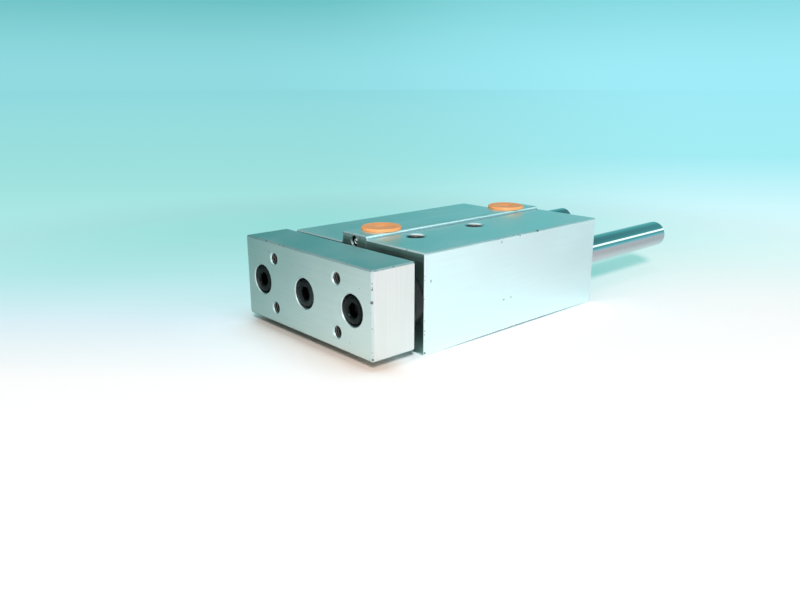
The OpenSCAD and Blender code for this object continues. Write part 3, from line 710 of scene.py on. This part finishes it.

# %% [markdown]
# ** Tool plate.** Its front is brushed from side to side and clear anodised. The grain is stronger
# than on the housing, and it smears each reflection up and down. Its back face is given a dark
# colour, painted shade for the gap in front of the housing, and deep in its holes the walls and
# the thread roots get brown painted shade. One mark along the bottom of its front is a dark line
# of painted shade; the other marks are nicks.

# %% Finish of the tool plate
TAP_SIDE, TAP_HEIGHTS = 16, (8.2, 24.2)
TAP_CORE, TAP_OUTER = 1.62, 2.02
tap_rise = (TAP_HEIGHTS[1] - TAP_HEIGHTS[0]) / 2
ENDS_UPRIGHT = (6500.0, 6500.0, 110.0)
BRUSHED_ACROSS = (70.0, 6500.0, 6500.0)
brushed = metal(
    "brushed_aluminium", (208, 230, 230), 0.36, (grain, {"Squeeze": (90.0, 6500.0, 6500.0)}),
    tone=0.02, groove=4.0e-6, worn=(214, 222, 220), rub=0.5,
    faces=[((1.0, 0.0, 0.0), ENDS_UPRIGHT, (226, 228, 225), 2.0e-6),
           ((-1.0, 0.0, 0.0), ENDS_UPRIGHT, (226, 228, 225), 2.0e-6),
           ((0.0, -1.0, 0.0), BRUSHED_ACROSS, (214, 230, 226), 30.0e-6),
           # The back face's dark colour is painted shade for the gap in front of the housing.
           ((0.0, 1.0, 0.0), BRUSHED_ACROSS, (150, 164, 163), 20.0e-6)],
    boxes=[(plate_low, plate_high, 0.5 * MM, 0.36)],
    # Deep in the holes the walls are darkened with brown painted shade.
    blocks=[(plate_low, plate_high, 1.5 * MM, 2.6 * MM)],
    # The thread roots are darkened with brown painted shade.
    threads=[(TAP_SIDE * MM, axis_z, tap_rise * MM, TAP_CORE * MM, TAP_OUTER * MM, plate_low, plate_high)],
    marks=[
        ((31.7, -48.1, 20.4), (0.6, 0.5, 0.5)), ((32, -48.1, 12.6), (0.3, 0.4, 0.4)),
        ((31.8, -48.1, 4.0), (0.4, 0.5, 0.5)), ((2.8, -48.1, 3.3), (0.4, 0.5, 0.3)),
        # The long mark along the bottom of the front, 34 mm across, is a line of painted shade.
        ((0, -48.0, 3.05), (34.0, 0.6, 0.42)), ((32, -32.6, 29.2), (0.4, 0.4, 0.3))])

# %% [markdown]
# **Turned parts, steels, chrome and bronze.** The covers are turned aluminium. The rods are ground
# and hard chromed, so their grooves are far below what bends a reflection, and only a faint
# sheen line shows. The screws are black oxide, an oiled conversion layer that rubs off to bare
# steel on the sharp rims. The bushes are sintered bronze, which is full of small pores.

# %% Finishes of the smaller metal pieces
axis = (0.0, 0.0, axis_z)
turned = metal("turned_aluminium", (224, 227, 229), 0.24, (rings, {"Centre": axis, "Count": 6500.0}),
               tone=0.08, groove=2.5e-6)
chrome = metal("hard_chrome", (203, 204, 208), 0.045, (grain, {"Squeeze": (120.0, 9000.0, 120.0)}),
               tone=0.02, groove=0.05e-6, nick_size=0.04, smudge=0.03)
ball_steel = metal("bearing_steel", (212, 216, 215), 0.12, (grain, {"Squeeze": (900.0, 900.0, 900.0)}),
                   tone=0.01, groove=0.02e-6, nick_size=0.0, smudge=0.02)
bronze = metal("sintered_bronze", (196, 158, 104), 0.38, (grain, {"Squeeze": (3800.0, 3800.0, 3800.0)}),
               tone=0.14, groove=6.0e-6, nick_size=0.22, chip_and_shade_colour=(70, 50, 30))
spring = metal("phosphated_spring_steel", (74, 76, 80), 0.42, (grain, {"Squeeze": (4200.0, 900.0, 4200.0)}),
               tone=0.16, groove=3.0e-6, chip_and_shade_colour=(30, 30, 32))
black = metal("black_oxide", (30, 37, 36), 0.30, (grain, {"Squeeze": (2600.0, 2600.0, 2600.0)}),
              tone=0.20, groove=2.0e-6, chip_and_shade_colour=(120, 116, 112), nick_size=0.14)
print("metal finishes:", [m.name for m in bpy.data.materials if m.name != "floor"])


# %% [markdown]
# ## Rubber and plastic
# These are not metal: most of their light comes from under the surface, so they have a colour of
# their own, a plain specular coat and a fine moulded texture. A little dust settles in the grain
# of rubber. The orange polyethylene of the plugs lets light in a short way, and it yellows and
# dirties in patches.

# %% The recipe for moulded pieces
DUST = display(90, 84, 78)


def moulded(name, colour, second, roughness, grain_scale, relief, patches=90.0, depth=0.0, specular=0.5):
    """A plastic or rubber finish: two tones in soft patches, and a moulded grain."""
    made = bpy.data.materials.new(name)
    tree = cleared_tree(made)
    skin = use(tree, grain, Squeeze=(grain_scale,) * 3)
    hand = use(tree, handling, Nick_Scale=600.0, Nick_Size=0.12, Smudge_Scale=patches)
    mixed = times_plus(tree, skin["Streak"], 0.4, times(tree, hand["Smudges"], 0.6))
    shade = blend(tree, mixed, display(*colour), display(*second))
    shade = blend(tree, times(tree, hand["Nicks"], 0.35), shade, DUST)
    rough = times_plus(tree, hand["Smudges"], 0.14, roughness)
    height = times(tree, skin["Fine"], relief)
    bump = add(tree, "ShaderNodeBump", {"Height": height, "Distance": 1.0, "Strength": 1.0})
    shader = add(tree, "ShaderNodeBsdfPrincipled", {
        "Base Color": shade, "Roughness": rough, "Specular IOR Level": specular,
        "Subsurface Weight": depth, "Subsurface Radius": (0.8 * MM, 0.35 * MM, 0.15 * MM),
        "Subsurface Scale": 1.0, "Normal": bump.outputs["Normal"]})
    add(tree, "ShaderNodeOutputMaterial", {"Surface": shader.outputs[0]})
    return made


# %% Finishes of rubber and plastic
rubber = moulded("moulded_rubber", (11, 12, 13), (20, 21, 21), 0.50, 2600.0, 5.0e-6, specular=0.3)
urethane = moulded("amber_urethane", (166, 112, 54), (146, 92, 40), 0.34, 900.0, 3.0e-6, depth=0.3)
orange = moulded("orange_polyethylene", (235, 161, 98), (224, 146, 90), 0.40, 1500.0, 4.0e-6, depth=0.25)
acetal = moulded("filled_acetal", (226, 219, 198), (214, 205, 182), 0.40, 1800.0, 2.0e-6)
ferrite = moulded("bonded_ferrite", (62, 62, 64), (48, 48, 50), 0.55, 3200.0, 5.0e-6)
FINISH = {
    "anodised": anodised, "brushed": brushed, "turned": turned, "black_steel": black,
    "spring_steel": spring, "hard_chrome": chrome, "bearing_steel": ball_steel, "bronze": bronze,
    "rubber_black": rubber, "urethane": urethane, "plug_orange": orange, "guide_strip": acetal,
    "magnet": ferrite}

# %% [markdown]
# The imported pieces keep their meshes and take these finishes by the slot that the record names.

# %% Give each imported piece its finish
for part in frame["record"]["subparts"]:
    piece = nodes[part["node"]]
    piece.data.materials.clear()
    piece.data.materials.append(FINISH[part["material_slot"]])

# %% [markdown]
# ## Cut threads
# Four tapped holes in the tool plate take a tool, and four in the housing take fixing screws. A
# plain hole looks wrong at once, because a real tapped hole glints: each turn of the thread has a
# flank that faces the light. The threads could be faked with a bump, but then the mesh would stay
# a plain tube. So a real helix is made and taken away from the metal.
#
# A tap is a ridge profile of one pitch. A spin with a step along the axis sweeps it into a screw
# shape, the two ends are closed with fans, and a Boolean difference cuts it out of a copy of the
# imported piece. The copy is merged first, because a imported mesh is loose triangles.


# %% Helpers for meshes
def link(name, bm, slot):
    """Makes an object at the origin from a bmesh, with smooth faces and sharp true edges."""
    mesh = bpy.data.meshes.new(name)
    bm.to_mesh(mesh)
    bm.free()
    if mesh.has_custom_normals:
        mesh.attributes.remove(mesh.attributes["custom_normal"])
    mesh.shade_smooth()
    mesh.set_sharp_from_angle(angle=math.radians(28))
    made = bpy.data.objects.new(name, mesh)
    bpy.context.scene.collection.objects.link(made)
    mesh.materials.clear()
    mesh.materials.append(FINISH[slot])
    return made


def merged_copy(node):
    """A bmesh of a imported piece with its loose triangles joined."""
    bm = bmesh.new()
    bm.from_mesh(nodes[node].data)
    bmesh.ops.remove_doubles(bm, verts=bm.verts, dist=1e-6)
    return bm


def revolve(bm, profile, steps=96):
    """Spins a profile of radius and height pairs right round Z."""
    verts = [bm.verts.new((r * MM, 0.0, z * MM)) for r, z in profile]
    edges = [bm.edges.new(pair) for pair in zip(verts, verts[1:])]
    bmesh.ops.spin(bm, geom=verts + edges, cent=(0, 0, 0), axis=(0, 0, 1), angle=math.tau, steps=steps,
                   use_merge=True)
    bmesh.ops.remove_doubles(bm, verts=bm.verts, dist=1e-7)
    bmesh.ops.recalc_face_normals(bm, faces=bm.faces)


def helix(pitch, minor, major, length, steps=32):
    """A closed screw shape round Z, centred on the origin. Radii, pitch and length are in mm."""
    bm = bmesh.new()
    ridge = [(minor, 0), (minor, 0.12), (major, 0.44), (major, 0.56), (minor, 0.88), (minor, 1)]
    verts = [bm.verts.new((r * MM, 0, share * pitch * MM)) for r, share in ridge]
    edges = [bm.edges.new(pair) for pair in zip(verts, verts[1:])]
    turns = math.ceil(length / pitch) + 1
    bmesh.ops.spin(bm, geom=verts + edges, cent=(0, 0, 0), axis=(0, 0, 1), dvec=(0, 0, pitch * MM / steps),
                   angle=math.tau * turns, steps=steps * turns)
    bmesh.ops.remove_doubles(bm, verts=bm.verts, dist=1e-7)
    middle = (turns + 1) * pitch * MM / 2
    rim = [edge for edge in bm.edges if edge.is_boundary]
    for side in (-1, 1):
        tip = bm.verts.new((0, 0, middle + side * (middle + 2 * pitch * MM)))
        for edge in rim:
            if (sum(v.co.z for v in edge.verts) / 2 - middle) * side > 0:
                bm.faces.new((edge.verts[0], edge.verts[1], tip))
    bmesh.ops.recalc_face_normals(bm, faces=bm.faces)
    bmesh.ops.triangulate(bm, faces=bm.faces)
    bmesh.ops.translate(bm, verts=bm.verts, vec=(0, 0, -middle))
    return bm


def cone(wide, narrow, depth):
    """A closed cone round Z, centred on the origin. Its radii and its depth are in mm."""
    bm = bmesh.new()
    bmesh.ops.create_cone(bm, cap_ends=True, segments=96, radius1=wide * MM, radius2=narrow * MM,
                          depth=depth * MM)
    return bm


def placed(bm, centre, axis):
    """Turns a bmesh from Z to an axis and moves it to a centre."""
    turn = Vector((0, 0, 1)).rotation_difference(Vector(axis)).to_matrix().to_4x4()
    bmesh.ops.transform(bm, matrix=Matrix.Translation(Vector(centre)) @ turn, verts=bm.verts)
    return bm


def combine(name, bm, tools, slot, operation="DIFFERENCE"):
    """Applies closed tools to a closed mesh by Boolean, and leaves one object."""
    base = link(name + "_blank", bm, slot)
    extra = []
    for number, tool in enumerate(tools):
        extra.append(link(f"{name}_tool_{number}", tool, slot))
        step = base.modifiers.new("cut", "BOOLEAN")
        step.operation, step.solver, step.object = operation, "MANIFOLD", extra[-1]
    result = bmesh.new()
    result.from_object(base, bpy.context.evaluated_depsgraph_get())
    bmesh.ops.remove_doubles(result, verts=result.verts, dist=1e-7)
    for used in [base] + extra:
        mesh = used.data
        bpy.data.objects.remove(used)
        bpy.data.meshes.remove(mesh)
    made = link(name, result, slot)
    print(name, "triangles", sum(len(f.vertices) - 2 for f in made.data.polygons))
    return made


# %% [markdown]
# The plate gets four M4 threads. Its three counterbores get a light chamfer, which is the thin
# bright crescent round each screw. A cone with its wide end just outside the face cuts it.

# %% Cut the tool plate
plate_middle = (plate_low.y + plate_high.y) / 2
plate_depth = (plate_high.y - plate_low.y) / MM
TAP_PITCH = 0.7
COUNTERBORE = 4.75
BREAK = 0.25
plate_tools = []
for x in (-TAP_SIDE, TAP_SIDE):
    for z in TAP_HEIGHTS:
        tap = helix(TAP_PITCH, TAP_CORE, TAP_OUTER, plate_depth)
        plate_tools.append(placed(tap, (x * MM, plate_middle, z * MM), (0, 1, 0)))
for x in (-guide_x, 0.0, guide_x):
    chamfer = cone(COUNTERBORE + 2 * BREAK, COUNTERBORE, 2 * BREAK)
    plate_tools.append(placed(chamfer, (x, plate_low.y, axis_z), (0, 1, 0)))
plate = combine("plate_with_threads", merged_copy("tool_plate"), plate_tools, "brushed")
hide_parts("tool_plate")

# %% [markdown]
# The housing gets four M5 threads right through, and a wide shallow countersink at the top of
# each. The threads of the air ports are left out, because their plugs hide them.

# %% Cut the housing
base_middle = (body_low.z + body_high.z) / 2
FIXING_X, FIXING_Y = (-12, 12), (-13.5, 13.5)
FIXING_PITCH, FIXING_CORE, FIXING_OUTER, FIXING_LENGTH = 0.8, 2.06, 2.5, 30
FIXING_DROP = 1 * MM
COUNTERSINK = (4.65, 2.65, 1.2)
fixing = [(x * MM, y * MM) for x in FIXING_X for y in FIXING_Y]
housing_tools = []
for x, y in fixing:
    tap = helix(FIXING_PITCH, FIXING_CORE, FIXING_OUTER, FIXING_LENGTH, 28)
    housing_tools.append(placed(tap, (x, y, base_middle - FIXING_DROP), (0, 0, 1)))
for x, y in fixing:
    top = shoulder_right if x > 0 else shoulder_left
    housing_tools.append(placed(cone(*COUNTERSINK), (x, y, top), (0, 0, -1)))
housing = combine("housing_with_threads", merged_copy("body"), housing_tools, "anodised")
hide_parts("body")

# %% [markdown]
# ## Plate screws
# Three M5 socket head screws hold the plate on the rods. A rolled knurl runs round each head, the
# top edge is rounded, and the hexagon socket has a chamfered mouth and a cone at its bottom, as a
# forging punch leaves it. The head grows from one circle: each new ring is an extruded edge
# loop, moved along the axis and given its radius. Two neighbours of the knurl take turns to lie
# a little deeper, and the socket rings lie on a hexagon.


# %% Model one screw
HEAD_RADIUS, HEAD_HEIGHT, KEY, KEY_DEPTH, SHANK = 4.25, 5.0, 4.0, 2.5, 20.0
KNURL_DEPTH, SOCKET_CONE = 0.13, 0.9
RING_SIDES = 144


def round_ring(radius):
    """The same radius all the way round."""
    return lambda number, angle: radius


def knurled(number, angle):
    """The radius of the knurl, with every second corner a little deeper."""
    return HEAD_RADIUS - (KNURL_DEPTH if number % 2 else 0.0)


def hexagon(number, angle):
    """The radius of the socket, whose corners lie on a hexagon."""
    return (KEY / 2) / math.cos((angle + math.pi / 6) % (math.pi / 3) - math.pi / 6)


head_rings = [
    (round_ring(4.20), 0.10), (knurled, 0.35), (knurled, 4.15), (round_ring(4.22), 4.30),
    (round_ring(4.16), 4.52), (round_ring(4.02), 4.74), (round_ring(3.80), 4.90), (round_ring(3.50), 4.98),
    (round_ring(3.20), 5.00), (round_ring(2.50), 5.00), (hexagon, 4.66), (hexagon, HEAD_HEIGHT - KEY_DEPTH)]

bm = bmesh.new()
bmesh.ops.create_circle(bm, cap_ends=True, segments=RING_SIDES, radius=3.9 * MM)
ring = [edge for edge in bm.edges]
for radius_at, height in head_rings:
    made = bmesh.ops.extrude_edge_only(bm, edges=ring)["geom"]
    corners = [item for item in made if isinstance(item, bmesh.types.BMVert)]
    ring = [item for item in made
            if isinstance(item, bmesh.types.BMEdge) and all(v in corners for v in item.verts)]
    for corner in corners:
        angle = math.atan2(corner.co.y, corner.co.x)
        number = round(angle / (math.tau / RING_SIDES))
        radius = radius_at(number, angle) * MM
        corner.co = (radius * math.cos(angle), radius * math.sin(angle), height * MM)
made = bmesh.ops.extrude_edge_only(bm, edges=ring)["geom"]
tip = (0, 0, (HEAD_HEIGHT - KEY_DEPTH - SOCKET_CONE) * MM)
bmesh.ops.pointmerge(bm, verts=[item for item in made if isinstance(item, bmesh.types.BMVert)], merge_co=tip)
bmesh.ops.recalc_face_normals(bm, faces=bm.faces)
bmesh.ops.triangulate(bm, faces=bm.faces)
print("screw head: open edges", sum(edge.is_boundary for edge in bm.edges))

# %% [markdown]
# The shank is the same helix as the tap, a little thinner, trimmed by a round bar with chamfered
# ends. It is joined to the head, and the finished screw is copied to the three holes.

# %% Add the threaded shank and place three screws
shank = placed(helix(0.8, 2.02, 2.46, SHANK + 1), (0, 0, -SHANK / 2 * MM), (0, 0, 1))
trim = bmesh.new()
revolve(trim, [(0, -SHANK), (2.0, -SHANK), (2.5, -SHANK + 0.6), (2.5, 0.2), (0, 0.2)])
bolt = combine("bolt_shank", shank, [trim], "black_steel", "INTERSECT")
shank = bmesh.new()
shank.from_mesh(bolt.data)
bolt_full = combine("bolt_whole", bm, [shank], "black_steel", "UNION")
screws = bmesh.new()
SCREW_TURNS = (8.0, 31.0, 17.0)
for turn, x in zip(SCREW_TURNS, (-guide_x, 0.0, guide_x)):
    one = bmesh.new()
    one.from_mesh(bolt_full.data)
    bmesh.ops.rotate(one, cent=(0, 0, 0), matrix=Matrix.Rotation(math.radians(turn), 3, "Z"), verts=one.verts)
    placed(one, (x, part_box("plate_screws")[0].y + HEAD_HEIGHT * MM, axis_z), (0, -1, 0))
    copy = bpy.data.meshes.new("copy")
    one.to_mesh(copy)
    one.free()
    screws.from_mesh(copy)
    bpy.data.meshes.remove(copy)
for spare in (bolt, bolt_full):
    bpy.data.objects.remove(spare)
socket_screws = link("socket_screws", screws, "black_steel")
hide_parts("plate_screws")
print("screws: triangles", len(socket_screws.data.polygons))

# %% [markdown]
# ## Port plugs
# A new cylinder comes with soft plugs pushed into its air ports. Each is moulded in one shot: a
# thin head with a rounded rim and a shallow dish, a dimple with the small scar of the gate in it,
# and a stem with barbs. A spun profile gives all of that: the stem is measured up from its end, and
# the head down from its top. One notch in the rim, where a blade lifts the plug out, is cut with a
# Boolean.


# %% Model the port plugs
NOTCH_SIZE = (1.7 * MM, 1.0 * MM, 0.5 * MM)
NOTCH_ROUND, NOTCH_DROP, NOTCH_REACH = 0.12 * MM, 0.95 * MM, 6.35 * MM


def port_plug(name, node):
    """One plug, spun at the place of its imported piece, with a notch in the rim behind."""
    low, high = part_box(node)
    centre = ((low.x + high.x) / 2, (low.y + high.y) / 2)
    rise = (high.z - low.z) / MM
    bm = bmesh.new()
    stem = [(0, 0), (1.55, 0.0), (1.75, 0.15), (2.05, 1.2), (1.78, 1.3), (2.05, 2.45), (1.78, 2.55),
            (2.05, 3.7), (1.9, 3.8)]
    head = [(1.9, 1.0), (6.30, 1.0), (6.44, 0.95), (6.49, 0.85), (6.49, 0.42), (6.45, 0.24), (6.34, 0.10),
            (6.18, 0.02), (6.00, 0), (5.55, 0), (5.35, 0.03), (5.15, 0.09), (2.25, 0.11), (2.05, 0.14),
            (1.90, 0.26), (1.65, 0.34), (0.42, 0.36), (0.36, 0.30), (0.22, 0.27), (0, 0.26)]
    revolve(bm, stem + [(radius, rise - down) for radius, down in head], 112)
    bmesh.ops.translate(bm, verts=bm.verts, vec=(centre[0], centre[1], low.z))
    notch = bmesh.new()
    bmesh.ops.create_cube(notch, size=1.0, matrix=Matrix.Diagonal((*NOTCH_SIZE, 1.0)))
    bmesh.ops.bevel(notch, geom=notch.edges[:], offset=NOTCH_ROUND, segments=3, affect="EDGES", profile=0.5,
                    material=-1)
    away = Vector(AWAY)
    turn = Matrix.Rotation(math.atan2(-away.x, away.y), 3, "Z")
    bmesh.ops.rotate(notch, cent=(0, 0, 0), matrix=turn, verts=notch.verts)
    bmesh.ops.translate(notch, verts=notch.verts,
                        vec=Vector((*centre, high.z - NOTCH_DROP)) + away * NOTCH_REACH)
    made = combine(name, bm, [notch], "plug_orange")
    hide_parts(node)
    return made


plug_front = port_plug("air_plug_front", "port_plug_front")
plug_rear = port_plug("air_plug_rear", "port_plug_rear")

# %% [markdown]
# ## What moves with what
# Each new piece rides on the body of the piece that it replaces.

# %% Ride on the two bodies
for piece in (plate, socket_screws):
    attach(piece, "slide")
for piece in (housing, plug_front, plug_rear):
    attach(piece, "housing")
print("riding pieces:", 5)

# %% Print the visual box
low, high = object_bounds()
print("visual box", [round(v / MM, 2) for v in high - low])
